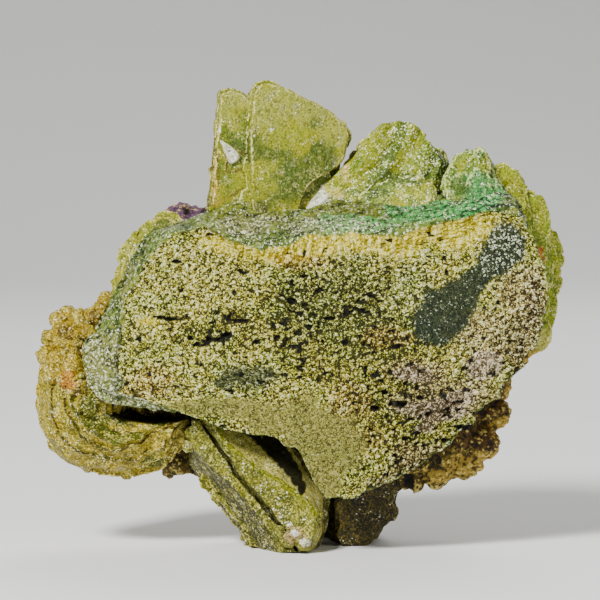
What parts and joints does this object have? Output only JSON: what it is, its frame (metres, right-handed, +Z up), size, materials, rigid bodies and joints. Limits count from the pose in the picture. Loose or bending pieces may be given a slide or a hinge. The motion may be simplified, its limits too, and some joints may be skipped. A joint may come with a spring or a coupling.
{
  "type": "heulandite specimen",
  "caption": "Green heulandite specimen: sheaves of overlapping tabular crystals on a knobbly matrix, with a grainy crust across its front.",
  "frame": {"origin": "a point on the flat cut under the lower blade that the specimen stands on, below the middle of the crust", "axes": "+Z up, -Y out of the grainy crust, +X to the viewer's right"},
  "size_m": [0.0811, 0.0387, 0.0705],
  "materials": {
    "crust": "rough, grainy, pitted, cream to yellow-green with a teal rim",
    "rock": "rough, crumbly, brown",
    "olive_crystal": "vitreous, translucent, finely striated",
    "yellow_crystal": "vitreous, translucent, finely striated",
    "green_crystal": "vitreous, translucent, sparkling"
  },
  "bodies": {
    "root": {"crust": "crust", "rock": "rock", "upper_left_blade": "olive_crystal", "upper_middle_fan": "olive_crystal", "upper_right_blades": "green_crystal", "right_fan": "olive_crystal", "left_rim_blade": "olive_crystal", "left_sheaf": "yellow_crystal", "lower_blade": "olive_crystal", "rear_foot": "olive_crystal", "back_left_sheaf": "olive_crystal", "back_right_sheaf": "olive_crystal", "back_upper_sheaf": "olive_crystal", "back_low_sheaf": "olive_crystal", "back_outer_sheaf": "olive_crystal", "back_middle_sheaf": "olive_crystal"}
  },
  "joints": []
}
